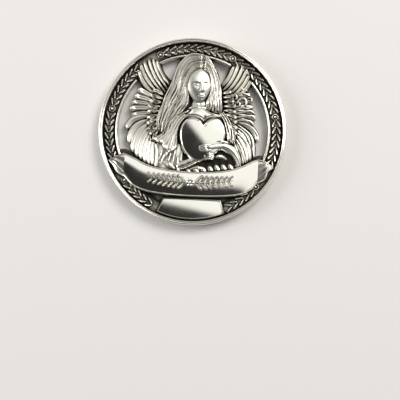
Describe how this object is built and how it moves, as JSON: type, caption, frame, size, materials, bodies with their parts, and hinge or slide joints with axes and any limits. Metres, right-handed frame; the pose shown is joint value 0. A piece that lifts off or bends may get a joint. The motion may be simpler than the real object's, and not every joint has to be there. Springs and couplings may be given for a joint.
{
  "type": "ball marker",
  "caption": "Round openwork cast-metal medal marker: winged figure holding a heart inside a raised rim, with a curved banner and a blank plate below.",
  "frame": {"origin": "centre of the back, on the plane that the marker rests on", "axes": "+Z out of the face, +Y towards the figure's head"},
  "size_m": [0.04, 0.04, 0.0035],
  "materials": {
    "polished_silver": "polished",
    "satin_silver": "satin",
    "antique_silver": "matte"
  },
  "bodies": {
    "root": {"outer_rim": "satin_silver", "border_band": "antique_silver", "inner_rim": "satin_silver", "border_leaves": "satin_silver", "border_pearls": "satin_silver", "openwork_web": "antique_silver", "left_wing_primaries": "satin_silver", "left_wing_middle": "satin_silver", "left_wing_lower": "satin_silver", "left_wing_coverts": "satin_silver", "right_wing_primaries": "satin_silver", "right_wing_middle": "satin_silver", "right_wing_lower": "satin_silver", "right_wing_coverts": "satin_silver", "left_hair_lock": "satin_silver", "right_hair_lock": "satin_silver", "face": "satin_silver", "neck": "satin_silver", "bust": "satin_silver", "dress": "satin_silver", "heart": "polished_silver", "left_sleeve": "satin_silver", "left_forearm": "satin_silver", "left_hand": "satin_silver", "right_sleeve": "satin_silver", "right_forearm": "satin_silver", "right_hand": "satin_silver", "cuff": "polished_silver", "banner": "polished_silver", "banner_lines": "polished_silver", "banner_sprig": "satin_silver", "left_banner_fold": "polished_silver", "right_banner_fold": "polished_silver", "name_plate": "polished_silver", "plate_frame": "polished_silver"}
  },
  "joints": []
}
